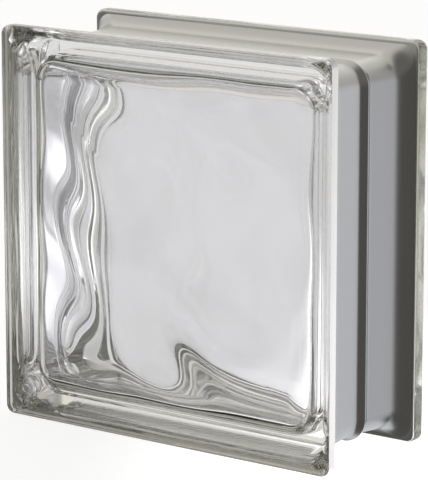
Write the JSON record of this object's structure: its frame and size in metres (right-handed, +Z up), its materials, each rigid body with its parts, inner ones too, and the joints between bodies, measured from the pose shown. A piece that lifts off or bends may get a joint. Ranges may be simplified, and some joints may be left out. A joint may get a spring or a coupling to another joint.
{
  "type": "glass block",
  "caption": "Square hollow glass block with wavy inner faces, rounded flange rims and a coated mortar groove, for building light-giving walls.",
  "frame": {"origin": "middle of the footprint, at the height of the lower flange rims' underside", "axes": "+X to the right and -Y out of the front face, seen from in front, +Z up"},
  "size_m": [0.19, 0.08, 0.19],
  "materials": {
    "pressed_glass": "clear fire-polished faces and rims, satin silver-grey coat in the edge groove"
  },
  "bodies": {
    "root": {"glass_block": "pressed_glass"}
  },
  "joints": []
}
